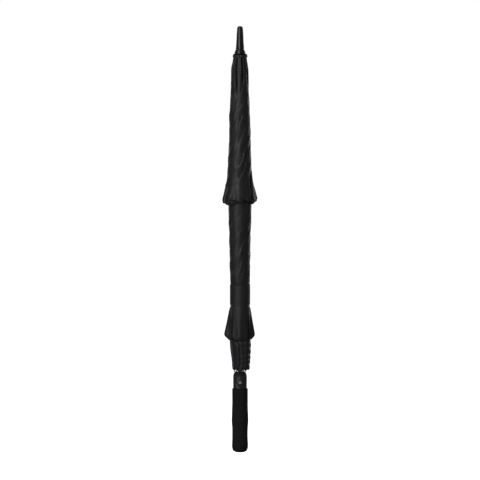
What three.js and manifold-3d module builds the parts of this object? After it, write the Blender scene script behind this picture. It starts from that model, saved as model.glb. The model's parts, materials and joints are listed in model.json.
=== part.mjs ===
// Automatic golf umbrella with a double canopy, closed and standing on its handle.
// Millimetres, +Z up. The origin is the centre of the handle's end face.
import * as THREE from 'three';
import { mergeVertices } from 'three/addons/utils/BufferGeometryUtils.js';
import Module from 'manifold-3d';

const wasm = await Module();
wasm.setup();

// ---- Driving dimensions ----
const RIBS = 8;
const STEP = (2 * Math.PI) / RIBS;
const FIRST_RIB = STEP / 2;
const FREE = 0.3; // least gap between neighbouring pieces

const HINGE = { r: 11, z: 925 }; // rib at the top notch
const FLEX = { r: 14.2, z: 635 }; // rib joint, where the stretcher meets the rib
const PIVOT = { r: 10.5, z: 270 }; // stretcher at the runner
const TIP_Z = 190.4; // lowest point of the rib tips

const WIRE_R = 0.6;
const EYE_R = 1.1;
const RIB = {
  depth: 2.6, width: 3, end: 1.6, fork: 1.6, forkDepth: 2.4, tongue: 1, pin: 0.5, shoulder: 3.2,
};
const TONGUE_R = 1.3;
const TIP = { r: 1.7, nose: 1, length: 13.5 };
const ARM = { depth: 2.2, width: 2.2, end: 1.4, aside: 3.6, jogFrom: 18, jogTo: 46, lap: 0.5 };

const SHAFT = { r: 7, bore: 6, foot: 57, top: 952 };
const BORE = SHAFT.r + FREE;
const STOP = { z: 656, r: 1.2, half: 7.8 };
const NOTCH = { r: 13.2, low: 917.5, high: 930.2, slotFrom: 8.9, slotWidth: 3.8 };
const RUNNER = { bore: 7.35, sleeve: 8.9, foot: 172, neck: 260, low: 264, high: 275, r: 12.6 };
const RUNNER_SLOT = { from: 8.7, width: 3 };
const GROOVE_R = 0.9;
const SPRING = { r: 8.5, wire: 0.5, low: 277.2, high: 916.4, turns: 16, stepsPerTurn: 9 };

const STRAP = { inner: 23.1, outer: 24, low: 347, high: 397, slit: 1.5 };
const TAB = { inner: 24.35, outer: 25.2, low: 352, high: 392, span: 75, back: 25 };
const STRAP_RIB = 1; // the strap is sewn beside this rib

const COLLAR = { chamber: 13.6, floor: 154, roof: 183, mouth: 9.6 };
const BUTTON = {
  z: 167.2, halfWidth: 8.2, halfHeight: 13, front: -17, back: -13.5, rounding: 0.8,
};
const CATCH = { low: 174, high: 175.6, hole: 9.3, rim: 1.2, clear: 2.8 };
const BUTTON_SPRING = {
  z: 160, r: 2.4, wire: 0.35, from: -13, to: -7.7, turns: 4, stepsPerTurn: 8,
};
const CORE = { r: 12.9, low: 6, high: 150.6 };
const CAP = { r: 12.8, face: 11.6, low: 0, high: 5.6, chamfer: 1.2 };

const ROUND = 24;
const COARSE = 16;

// ---- Profiles, as [radius, height], anticlockwise ----
const FERRULE = [
  [BORE, 946], [9.7, 946], [9.8, 947], [9.5, 953], [8.9, 960], [8.4, 967], [8, 981],
  [7.4, 988], [6.8, 995], [5.2, 998.4], [2.8, 999.8], [0, 1000], [0, SHAFT.top + 1.2],
  [BORE, SHAFT.top + 1.2],
];
const CROWN_COLLAR = [
  [BORE, 934.6], [12.1, 934.6], [12.9, 936.2], [12.9, 938.2], [12.5, 940.2], [11.8, 942.6],
  [10.8, 944.6], [9.6, 945.6], [BORE, 945.6],
];
const ROSETTE = [
  [BORE, 930.6], [15.4, 930.6], [16.4, 931.6], [16.2, 932.8], [13, 934.2], [BORE, 934.2],
];
const VENT_GORE = [
  [13.6, 929.8], [13.6, 915], [14.2, 800], [15.9, 650], [16.8, 640], [16.8, 606], [25.4, 605],
  [28.2, 583], [35.2, 583], [38.6, 592], [39.6, 600.5], [37.4, 608], [34.5, 622], [31.4, 637],
  [28.4, 660], [27, 690], [26.4, 714], [25.5, 740], [25.2, 790], [23.6, 808], [22.8, 830],
  [21.4, 855], [21, 880], [19.6, 903], [18.2, 912], [15.6, 925], [14.8, 929.8],
];
const MAIN_GORE = [
  [16.8, 604.6], [16.8, 199.6], [20.2, 199.6], [21.2, 207], [22.7, 222], [24.2, 243],
  [25.2, 257], [26.4, 264], [32.4, 270], [35.8, 277], [35.2, 285], [31.9, 299], [28.2, 320],
  [25.8, 339], [22.8, 346], [22.8, 398], [23.8, 404], [24.1, 440], [24.8, 480], [24.8, 517],
  [26.2, 538], [26.4, 566], [26.8, 580], [24.9, 604.6],
];
const GRIP = [
  [CORE.r + FREE, 1.2], [14.6, 2], [17, 4.6], [18.5, 8.5], [19, 13], [19, 20], [18.4, 32],
  [18.4, 52], [18.8, 60], [19.7, 74], [19.2, 88], [18.8, 102], [18.4, 116], [18.4, 146],
  [18.2, 150], [17.4, 151], [CORE.r + FREE, 151],
];
const HANDLE_COLLAR = [
  [BORE, 151.4], [15.5, 151.4], [15.9, 152.4], [16.1, 179], [15.5, 183.5], [14.2, 186.6],
  [12.4, 189.2], [10.3, 191], [COLLAR.mouth, 191], [COLLAR.mouth, COLLAR.roof],
  [COLLAR.chamber, COLLAR.roof], [COLLAR.chamber, COLLAR.floor], [BORE, COLLAR.floor],
];

// ---- Solids ----
function solid(geometry) {
  const bare = geometry.index ? geometry.toNonIndexed() : geometry.clone();
  bare.deleteAttribute('normal');
  bare.deleteAttribute('uv');
  const merged = mergeVertices(bare, 1e-4);
  return new wasm.Manifold(new wasm.Mesh({
    numProp: 3,
    vertProperties: merged.attributes.position.array,
    triVerts: new Uint32Array(merged.index.array),
  }));
}

function turned(profile, segments) {
  const closed = [...profile, profile[0]].map(([r, z]) => new THREE.Vector2(r, z));
  return solid(new THREE.LatheGeometry(closed, segments).rotateX(Math.PI / 2));
}

function tube(inner, outer, low, high, segments) {
  return turned([[inner, low], [outer, low], [outer, high], [inner, high]], segments);
}

function box(low, high) {
  const size = high.map((v, i) => v - low[i]);
  const middle = high.map((v, i) => (v + low[i]) / 2);
  return solid(new THREE.BoxGeometry(...size).translate(...middle));
}

function acrossY(r, x, z, halfLength, segments = 8) {
  return solid(new THREE.CylinderGeometry(r, r, 2 * halfLength, segments).translate(x, 0, z));
}

function ring(r, wire, z, segments = ROUND) {
  return solid(new THREE.TorusGeometry(r, wire, 5, segments).translate(0, 0, z));
}

function coil(r, wire, length, turns, stepsPerTurn) {
  class Helix extends THREE.Curve {
    getPoint(t, target = new THREE.Vector3()) {
      const angle = 2 * Math.PI * turns * t;
      return target.set(r * Math.cos(angle), r * Math.sin(angle), length * t);
    }
  }
  const section = new THREE.Shape();
  section.absarc(0, 0, wire, 0, 2 * Math.PI);
  return solid(new THREE.ExtrudeGeometry(section, {
    extrudePath: new Helix(),
    steps: turns * stepsPerTurn,
    curveSegments: 2,
    bevelEnabled: false,
  }));
}

// A pie slice of half angle `half` round +X, long enough to cut any ring.
function wedge(half) {
  const far = 80;
  const below = 50;
  const height = 1200;
  const shape = new THREE.Shape([
    new THREE.Vector2(0, 0),
    new THREE.Vector2(far * Math.cos(half), -far * Math.sin(half)),
    new THREE.Vector2(far * Math.cos(half), far * Math.sin(half)),
  ]);
  const slice = new THREE.ExtrudeGeometry(shape, { depth: height, bevelEnabled: false });
  return solid(slice.translate(0, 0, -below));
}

function stadium(r, back, low, high) {
  const flat = new THREE.CylinderGeometry(r, r, high - low, ROUND).rotateX(Math.PI / 2);
  const disc = (y) => solid(flat.clone().translate(0, y, (low + high) / 2));
  return disc(0).add(disc(-back)).add(box([-r, -back, low], [r, 0, high]));
}

function ellipse(halfWidth, halfHeight, z, from, to, front = 1) {
  const body = new THREE.CylinderGeometry(1, front, to - from, ROUND);
  return solid(body.scale(halfWidth, 1, halfHeight).translate(0, (from + to) / 2, z));
}

// ---- Looks ----
const LOOKS = {
  fabric: { color: 0x17181b, roughness: 0.62, metalness: 0 },
  gloss: { color: 0x101114, roughness: 0.2, metalness: 0 },
  satin: { color: 0x24262e, roughness: 0.4, metalness: 0 },
  foam: { color: 0x141414, roughness: 0.95, metalness: 0 },
  black: { color: 0x1c1c1e, roughness: 0.45, metalness: 0.4 },
  steel: { color: 0xb9bcc0, roughness: 0.3, metalness: 1 },
};

const group = new THREE.Group();

function place(parent, name, manifold, look) {
  const mesh = manifold.getMesh();
  const geometry = new THREE.BufferGeometry();
  geometry.setAttribute('position', new THREE.BufferAttribute(mesh.vertProperties.slice(), 3));
  geometry.setIndex(new THREE.BufferAttribute(mesh.triVerts.slice(), 1));
  geometry.computeVertexNormals();
  const piece = new THREE.Mesh(geometry, new THREE.MeshStandardMaterial(LOOKS[look]));
  piece.name = name;
  parent.add(piece);
  return piece;
}

// ---- Shaft, crown and top notch ----
const stopHoles = acrossY(STOP.r + FREE, 0, STOP.z, SHAFT.r + 1);
const shaft = tube(SHAFT.bore, SHAFT.r, SHAFT.foot, SHAFT.top, COARSE);
place(group, 'shaft', shaft.subtract(stopHoles), 'black');
place(group, 'stop_pin', acrossY(STOP.r, 0, STOP.z, STOP.half), 'steel');
place(group, 'ferrule', turned(FERRULE, ROUND), 'gloss');
place(group, 'crown_collar', turned(CROWN_COLLAR, ROUND), 'gloss');
place(group, 'crown_rosette', turned(ROSETTE, ROUND), 'fabric');

function slotted(hub, from, width, low, high) {
  const far = 16;
  const slot = box([from, -width / 2, low - 1], [far, width / 2, high + 1]);
  return Array.from({ length: RIBS }, (_, j) => FIRST_RIB + j * STEP)
    .reduce((rest, angle) => rest.subtract(slot.rotate([0, 0, THREE.MathUtils.radToDeg(angle)])), hub);
}

const hub = tube(BORE, NOTCH.r, NOTCH.low, NOTCH.high, ROUND);
const notch = slotted(hub, NOTCH.slotFrom, NOTCH.slotWidth, NOTCH.low, NOTCH.high);
place(group, 'top_notch', notch.subtract(ring(HINGE.r, GROOVE_R, HINGE.z)), 'black');
place(group, 'notch_wire', ring(HINGE.r, WIRE_R, HINGE.z), 'steel');

// ---- Runner and opening spring ----
const runner = slotted(
  turned([
    [RUNNER.bore, RUNNER.foot], [RUNNER.sleeve, RUNNER.foot], [RUNNER.sleeve, RUNNER.neck],
    [RUNNER.r, RUNNER.low], [RUNNER.r, RUNNER.high], [RUNNER.bore, RUNNER.high],
  ], ROUND),
  RUNNER_SLOT.from, RUNNER_SLOT.width, RUNNER.neck + 2, RUNNER.high,
);
place(group, 'runner', runner.subtract(ring(PIVOT.r, GROOVE_R, PIVOT.z)), 'black');
place(group, 'runner_wire', ring(PIVOT.r, WIRE_R, PIVOT.z), 'steel');
place(group, 'opening_spring', coil(
  SPRING.r, SPRING.wire, SPRING.high - SPRING.low, SPRING.turns, SPRING.stepsPerTurn,
), 'steel').position.z = SPRING.low;

// ---- Ribs, stretchers and canopy ----
const innerLength = Math.hypot(FLEX.r - HINGE.r, FLEX.z - HINGE.z);
const armLength = Math.hypot(FLEX.r - PIVOT.r, FLEX.z - PIVOT.z);
const outerLength = FLEX.z - TIP_Z;
const halfDepth = RIB.depth / 2;
const halfWidth = RIB.width / 2;

// The rib pieces hang along -Z from their own hinge, which is the origin.
function innerRib() {
  const bar = box([-halfDepth, -halfWidth, -innerLength], [halfDepth, halfWidth, 0]);
  const ends = acrossY(RIB.end, 0, 0, halfWidth).add(acrossY(RIB.end, 0, -innerLength, halfWidth));
  const slot = box(
    [-RIB.end - 1, -RIB.fork / 2, -innerLength - RIB.end - 1],
    [RIB.end + 1, RIB.fork / 2, -innerLength + RIB.forkDepth],
  );
  const pin = acrossY(RIB.pin, 0, -innerLength, halfWidth - 0.2, 8);
  return bar.add(ends).subtract(acrossY(EYE_R, 0, 0, RIB.width)).subtract(slot).add(pin);
}

function outerRib() {
  const bar = box([-halfDepth, -halfWidth, -outerLength + 1], [halfDepth, halfWidth, -RIB.shoulder]);
  const tongue = box([-1, -RIB.tongue / 2, -RIB.shoulder - 1], [1, RIB.tongue / 2, 0])
    .add(acrossY(TONGUE_R, 0, 0, RIB.tongue / 2));
  const tip = turned([
    [0, -outerLength], [TIP.nose, -outerLength + 0.2], [TIP.r, -outerLength + 1.6],
    [TIP.r, -outerLength + TIP.length], [0, -outerLength + TIP.length + 1],
  ], 8);
  return bar.add(tongue).subtract(acrossY(RIB.pin + FREE, 0, 0, RIB.width, 8)).add(tip);
}

// The stretcher stands along +Z from the runner's wire and runs beside the rib.
function stretcher() {
  const straight = box(
    [-ARM.depth / 2, ARM.aside - ARM.width / 2, ARM.jogTo - ARM.lap],
    [ARM.depth / 2, ARM.aside + ARM.width / 2, armLength],
  );
  const end = acrossY(ARM.end, 0, armLength, ARM.width / 2).translate([0, ARM.aside, 0]);
  const root = box(
    [-ARM.depth / 2, -ARM.width / 2, 0],
    [ARM.depth / 2, ARM.width / 2, ARM.jogFrom + ARM.lap],
  ).add(acrossY(ARM.end, 0, 0, ARM.width / 2));
  const lean = new THREE.Shape([
    new THREE.Vector2(-ARM.width / 2, ARM.jogFrom),
    new THREE.Vector2(ARM.width / 2, ARM.jogFrom),
    new THREE.Vector2(ARM.aside + ARM.width / 2, ARM.jogTo),
    new THREE.Vector2(ARM.aside - ARM.width / 2, ARM.jogTo),
  ]);
  const jog = solid(
    new THREE.ExtrudeGeometry(lean, { depth: ARM.depth, bevelEnabled: false })
      .translate(0, 0, -ARM.depth / 2).rotateX(Math.PI / 2).rotateZ(Math.PI / 2),
  );
  return straight.add(end).add(root).add(jog).subtract(acrossY(EYE_R, 0, 0, ARM.width));
}

const sideGap = 0.6; // degrees left free on each side of a gore
const slice = wedge(STEP / 2 - THREE.MathUtils.degToRad(sideGap));
const shapes = {
  rib_inner: innerRib(),
  rib_outer: outerRib(),
  stretcher: stretcher(),
  vent_gore: turned(VENT_GORE, COARSE).intersect(slice),
  main_gore: turned(MAIN_GORE, COARSE).intersect(slice),
};

for (let j = 0; j < RIBS; j += 1) {
  const station = new THREE.Group();
  station.rotation.z = FIRST_RIB + j * STEP;
  group.add(station);

  const inner = place(station, `rib_inner_${j}`, shapes.rib_inner, 'black');
  inner.position.set(HINGE.r, 0, HINGE.z);
  inner.rotation.y = -Math.atan2(FLEX.r - HINGE.r, HINGE.z - FLEX.z);
  place(station, `rib_outer_${j}`, shapes.rib_outer, 'steel').position.set(FLEX.r, 0, FLEX.z);
  const arm = place(station, `stretcher_${j}`, shapes.stretcher, 'black');
  arm.position.set(PIVOT.r, 0, PIVOT.z);
  arm.rotation.y = Math.atan2(FLEX.r - PIVOT.r, FLEX.z - PIVOT.z);

  const between = new THREE.Group();
  between.rotation.z = STEP / 2;
  station.add(between);
  place(between, `vent_gore_${j}`, shapes.vent_gore, 'fabric');
  place(between, `main_gore_${j}`, shapes.main_gore, 'fabric');
}

// ---- Closure strap ----
const strapAngle = FIRST_RIB + STRAP_RIB * STEP;
const strap = new THREE.Group();
strap.rotation.z = strapAngle;
group.add(strap);
const slit = wedge(THREE.MathUtils.degToRad(STRAP.slit));
const band = tube(STRAP.inner, STRAP.outer, STRAP.low, STRAP.high, ROUND);
place(strap, 'strap_band', band.subtract(slit), 'fabric');
const tab = tube(TAB.inner, TAB.outer, TAB.low, TAB.high, ROUND)
  .intersect(wedge(THREE.MathUtils.degToRad(TAB.span / 2)));
place(strap, 'strap_tab', tab, 'fabric').rotation.z = THREE.MathUtils.degToRad(TAB.span / 2 - TAB.back);

// ---- Handle ----
const { halfWidth: wide, halfHeight: tall } = BUTTON;
const window = ellipse(wide + FREE, tall + FREE, BUTTON.z, -COLLAR.chamber - 5, -9);
place(group, 'handle_collar', turned(HANDLE_COLLAR, ROUND).subtract(window), 'satin');
const face = ellipse(wide, tall, BUTTON.z, BUTTON.front, BUTTON.front + BUTTON.rounding, 0.9);
const stem = ellipse(wide, tall, BUTTON.z, BUTTON.front + BUTTON.rounding, BUTTON.back);
place(group, 'push_button', stem.add(face), 'satin');
place(group, 'latch', stadium(CATCH.hole + CATCH.rim, CATCH.clear, CATCH.low, CATCH.high)
  .subtract(stadium(CATCH.hole, CATCH.clear, CATCH.low - 1, CATCH.high + 1)), 'steel');
const sprung = place(group, 'button_spring', coil(
  BUTTON_SPRING.r, BUTTON_SPRING.wire, BUTTON_SPRING.to - BUTTON_SPRING.from,
  BUTTON_SPRING.turns, BUTTON_SPRING.stepsPerTurn,
), 'steel');
sprung.rotation.x = -Math.PI / 2;
sprung.position.set(0, BUTTON_SPRING.from, BUTTON_SPRING.z);
place(group, 'handle_core', turned([
  [0, CORE.low], [CORE.r, CORE.low], [CORE.r, CORE.high], [BORE, CORE.high],
  [BORE, SHAFT.foot - 1], [0, SHAFT.foot - 1],
], COARSE), 'black');
place(group, 'grip', turned(GRIP, ROUND), 'foam');
place(group, 'end_cap', turned([
  [0, CAP.low], [CAP.face, CAP.low], [CAP.r, CAP.low + CAP.chamfer], [CAP.r, CAP.high], [0, CAP.high],
], COARSE), 'satin');

export default group;
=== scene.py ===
"""Closed golf umbrella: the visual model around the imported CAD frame.

Metres, +Z up, the push button towards -Y. Lengths in the tables are millimetres.
"""
import json
import math

import bmesh
import bpy
import numpy as np
from mathutils import Matrix, Vector


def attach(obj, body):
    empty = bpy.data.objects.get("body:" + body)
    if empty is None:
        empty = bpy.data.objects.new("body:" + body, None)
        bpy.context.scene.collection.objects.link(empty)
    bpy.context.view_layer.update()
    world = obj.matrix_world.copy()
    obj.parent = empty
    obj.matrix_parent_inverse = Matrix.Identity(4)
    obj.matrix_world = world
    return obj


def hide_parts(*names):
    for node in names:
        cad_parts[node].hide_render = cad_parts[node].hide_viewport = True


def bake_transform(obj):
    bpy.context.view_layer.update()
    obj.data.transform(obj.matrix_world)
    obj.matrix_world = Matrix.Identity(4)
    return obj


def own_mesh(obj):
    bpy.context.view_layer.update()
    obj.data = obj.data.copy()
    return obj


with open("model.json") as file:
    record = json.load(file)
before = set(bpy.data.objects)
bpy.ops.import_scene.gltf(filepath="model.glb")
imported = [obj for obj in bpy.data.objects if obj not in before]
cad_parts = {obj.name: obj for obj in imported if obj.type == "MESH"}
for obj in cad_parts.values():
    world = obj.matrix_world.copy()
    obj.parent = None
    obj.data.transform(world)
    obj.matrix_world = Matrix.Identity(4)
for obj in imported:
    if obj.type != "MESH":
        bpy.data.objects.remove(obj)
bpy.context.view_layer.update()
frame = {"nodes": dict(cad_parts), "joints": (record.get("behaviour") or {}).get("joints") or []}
JOINTS = {j["name"]: j for j in frame["joints"]}

MM = 0.001
RIBS = 8
STEP = 2 * math.pi / RIBS
FIRST = STEP / 2
FRONT = -math.pi / 2
STRAP_RIB = 1  # the strap is sewn on at this rib


# ---------------------------------------------------------------- small helpers
def smooth(a, b, x):
    t = np.clip((np.asarray(x, float) - a) / (b - a), 0, 1)
    return t * t * (3 - 2 * t)


def curve(points, z):
    """Piecewise linear through (z, value) pairs given from high z to low."""
    pts = np.array(sorted(points))
    return np.interp(z, pts[:, 0], pts[:, 1])


def about(pos, axis, angle):
    p = Vector(pos)
    turn = Matrix.Rotation(angle, 4, Vector(axis))
    return np.array(Matrix.Translation(p) @ turn @ Matrix.Translation(-p))


def joint_turn(name, share=1.0):
    j = JOINTS[name]
    return about(j["pos_m"], j["axis"], math.radians(j["range_deg"][1]) * share)


def carry(m, v):
    return v @ m[:3, :3].T + m[:3, 3]


def mesh_object(name, verts, faces):
    me = bpy.data.meshes.new(name)
    me.from_pydata([tuple(v) for v in verts], [], faces)
    me.update()
    me.polygons.foreach_set("use_smooth", [True] * len(me.polygons))
    ob = bpy.data.objects.new(name, me)
    bpy.context.scene.collection.objects.link(ob)
    return ob


def grid_faces(rows, cols, wrap=False):
    across = cols if wrap else cols - 1
    r, c = np.meshgrid(np.arange(rows - 1), np.arange(across), indexing="ij")
    a = r * cols + c
    b = r * cols + (c + 1) % cols
    return np.stack([a, b, b + cols, a + cols], -1).reshape(-1, 4)


def grid_object(name, points, wrap=False):
    rows, cols = points.shape[:2]
    quads = grid_faces(rows, cols, wrap)
    me = bpy.data.meshes.new(name)
    flat = points.reshape(-1, 3)
    me.vertices.add(len(flat))
    me.vertices.foreach_set("co", flat.astype(np.float32).ravel())
    me.loops.add(quads.size)
    me.loops.foreach_set("vertex_index", quads.astype(np.int32).ravel())
    me.polygons.add(len(quads))
    me.polygons.foreach_set("loop_start", np.arange(0, quads.size, 4, dtype=np.int32))
    me.polygons.foreach_set("use_smooth", np.ones(len(quads), bool))
    me.update(calc_edges=True)
    me.validate()
    ob = bpy.data.objects.new(name, me)
    bpy.context.scene.collection.objects.link(ob)
    return ob


def set_uv(ob, uv):
    """uv is one pair per vertex."""
    me = ob.data
    layer = me.uv_layers.new(name="cloth")
    index = np.empty(len(me.loops), np.int32)
    me.loops.foreach_get("vertex_index", index)
    layer.data.foreach_set("uv", uv.reshape(-1, 2)[index].astype(np.float32).ravel())


def attribute(ob, name, values):
    a = ob.data.attributes.new(name, "FLOAT", "POINT")
    a.data.foreach_set("value", np.asarray(values, np.float32).ravel())


def lathe(name, profile, segments=96, wobble=None):
    """A closed body turned about Z from an outline of (radius, z) in mm.

    The outline runs from the axis at the bottom round to the axis, or back to its start.
    """
    pts = np.array(profile, float)
    ang = np.arange(segments) * 2 * math.pi / segments
    r = pts[:, 0][:, None] * np.ones(segments)
    z = pts[:, 1][:, None] * np.ones(segments)
    if wobble is not None:
        r = r + wobble(ang[None, :], z) * (r > 1e-6)
    grid = np.stack([r * np.cos(ang), r * np.sin(ang), z], -1) * MM
    bm = bmesh.new()
    rows = []
    for k in range(len(pts)):
        if pts[k, 0] < 1e-6:
            v = bm.verts.new(grid[k, 0])
            rows.append([v] * segments)
        else:
            rows.append([bm.verts.new(p) for p in grid[k]])
    closed = pts[0, 0] > 1e-6
    pairs = list(zip(rows[:-1], rows[1:])) + ([(rows[-1], rows[0])] if closed else [])
    for low, high in pairs:
        for i in range(segments):
            n = (i + 1) % segments
            face = []
            for v in (low[i], low[n], high[n], high[i]):
                if v not in face:
                    face.append(v)
            if len(face) > 2:
                f = bm.faces.new(face)
                f.smooth = True
    bmesh.ops.recalc_face_normals(bm, faces=bm.faces)
    me = bpy.data.meshes.new(name)
    bm.to_mesh(me)
    bm.free()
    ob = bpy.data.objects.new(name, me)
    bpy.context.scene.collection.objects.link(ob)
    return ob


def rounded(points, radius, steps=4):
    """The (r, z) outline with its corners rounded; radius is one number or one per corner."""
    pts = [np.array(p, float) for p in points]
    radii = [radius] * len(pts) if isinstance(radius, (int, float)) else list(radius)
    out = [pts[0]]
    for i in range(1, len(pts) - 1):
        a, b, c = pts[i - 1], pts[i], pts[i + 1]
        ra = min(radii[i], 0.45 * np.linalg.norm(a - b), 0.45 * np.linalg.norm(c - b))
        p = b + (a - b) / max(np.linalg.norm(a - b), 1e-9) * ra
        q = b + (c - b) / max(np.linalg.norm(c - b), 1e-9) * ra
        for s in range(steps + 1):
            t = s / steps
            out.append((1 - t) ** 2 * p + 2 * t * (1 - t) * b + t * t * q)
    out.append(pts[-1])
    return out


def spline(points, step):
    """Catmull-Rom through the points, resampled about every `step`."""
    p = np.array(points, float)
    out = []
    for i in range(len(p) - 1):
        p0, p1, p2, p3 = p[max(i - 1, 0)], p[i], p[i + 1], p[min(i + 2, len(p) - 1)]
        n = max(1, int(np.linalg.norm(p2 - p1) / step))
        for k in range(n):
            t = k / n
            square = (2 * p0 - 5 * p1 + 4 * p2 - p3) * t ** 2
            cube = (3 * p1 - p0 - 3 * p2 + p3) * t ** 3
            out.append(0.5 * (2 * p1 + (p2 - p0) * t + square + cube))
    out.append(p[-1])
    return out


def tube(name, path, radius, sides):
    """A closed tube of (n, 3) path points in metres; radius is one number or one per point."""
    path = np.asarray(path, float)
    n = len(path)
    radius = np.broadcast_to(np.asarray(radius, float), (n,))
    tangent = np.gradient(path, axis=0)
    tangent /= np.linalg.norm(tangent, axis=1)[:, None]
    up = np.array([0.0, 0, 1]) if abs(tangent[0][2]) < 0.9 else np.array([1.0, 0, 0])
    normals = []
    u = np.cross(tangent[0], up)
    for t in tangent:
        u = u - t * (u @ t)
        u /= np.linalg.norm(u)
        normals.append(u)
    normals = np.array(normals)
    side = np.cross(tangent, normals)
    a = np.arange(sides) * 2 * math.pi / sides
    outward = normals[:, None] * np.cos(a)[None, :, None] + side[:, None] * np.sin(a)[None, :, None]
    ring = path[:, None] + radius[:, None, None] * outward
    verts = list(ring.reshape(-1, 3))
    faces = [tuple(int(x) for x in q) for q in grid_faces(n, sides, True)]
    faces.append(tuple(range(sides))[::-1])
    faces.append(tuple(range((n - 1) * sides, n * sides)))
    ob = mesh_object(name, verts, faces)
    faces_out(ob)
    return ob


def faces_out(ob, rings=()):
    """Turns the faces outwards, after closing the ends given as lists of vertex numbers."""
    bm = bmesh.new()
    bm.from_mesh(ob.data)
    bm.verts.ensure_lookup_table()
    for ring in rings:
        bm.faces.new([bm.verts[i] for i in ring])
    bmesh.ops.recalc_face_normals(bm, faces=bm.faces)
    bm.to_mesh(ob.data)
    bm.free()


def join(name, objects):
    objects = list(objects)
    bpy.ops.object.select_all(action="DESELECT")
    for o in objects:
        o.select_set(True)
    bpy.context.view_layer.objects.active = objects[0]
    bpy.ops.object.join()
    objects[0].name = name
    objects[0].data.name = name
    return objects[0]


def paint(ob, mat):
    ob.data.materials.clear()
    ob.data.materials.append(mat)
    return ob


# ---------------------------------------------------------------- materials
class Nodes:
    """A short way to build a node tree."""

    def __init__(self, name):
        self.mat = bpy.data.materials.new(name)
        self.mat.use_nodes = True
        self.tree = self.mat.node_tree
        self.bsdf = self.tree.nodes["Principled BSDF"]

    def add(self, kind, **values):
        node = self.tree.nodes.new(kind)
        for key, value in values.items():
            setattr(node, key, value)
        return node

    def link(self, a, b):
        self.tree.links.new(a, b)

    def shader(self, **values):
        for key, value in values.items():
            self.bsdf.inputs[key.replace("_", " ")].default_value = value

    def math(self, op, a, b=None, clamp=False):
        node = self.tree.nodes.new("ShaderNodeMath")
        node.operation = op
        node.use_clamp = clamp
        for i, x in enumerate((a, b)):
            if x is None:
                continue
            if isinstance(x, (int, float)):
                node.inputs[i].default_value = x
            else:
                self.link(x, node.inputs[i])
        return node.outputs[0]

    def noise(self, scale, detail=3.0, rough=0.55, vector=None, stretch=None):
        co = vector
        if co is None:
            co = self.tree.nodes.new("ShaderNodeTexCoord").outputs["Object"]
        if stretch:
            m = self.tree.nodes.new("ShaderNodeMapping")
            m.inputs["Scale"].default_value = stretch
            self.link(co, m.inputs["Vector"])
            co = m.outputs[0]
        n = self.tree.nodes.new("ShaderNodeTexNoise")
        n.inputs["Scale"].default_value = scale
        n.inputs["Detail"].default_value = detail
        n.inputs["Roughness"].default_value = rough
        self.link(co, n.inputs["Vector"])
        return n.outputs["Fac"]

    def ramp(self, value, stops):
        r = self.tree.nodes.new("ShaderNodeValToRGB")
        r.color_ramp.elements[0].position = stops[0][0]
        r.color_ramp.elements[0].color = stops[0][1]
        r.color_ramp.elements[1].position = stops[-1][0]
        r.color_ramp.elements[1].color = stops[-1][1]
        for pos, col in stops[1:-1]:
            e = r.color_ramp.elements.new(pos)
            e.color = col
        self.link(value, r.inputs[0])
        return r.outputs["Color"]

    def span(self, value, low, high, a=0.0, b=1.0):
        m = self.tree.nodes.new("ShaderNodeMapRange")
        m.inputs["From Min"].default_value = a
        m.inputs["From Max"].default_value = b
        m.inputs["To Min"].default_value = low
        m.inputs["To Max"].default_value = high
        self.link(value, m.inputs["Value"])
        return m.outputs[0]

    def bump(self, height, strength, distance, normal=None):
        b = self.tree.nodes.new("ShaderNodeBump")
        b.inputs["Strength"].default_value = strength
        b.inputs["Distance"].default_value = distance
        self.link(height, b.inputs["Height"])
        if normal is not None:
            self.link(normal, b.inputs["Normal"])
        return b.outputs[0]


def grey(v, blue=1.0):
    return (v, v, v * blue, 1)


# stitches, in metres: their pitch and half width, and how far in from the hem and from the seam
STITCH_PITCH, STITCH_HALF = 0.0026, 0.0005
HEM_STITCH, SEAM_STITCH = 0.006, 0.003


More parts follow.
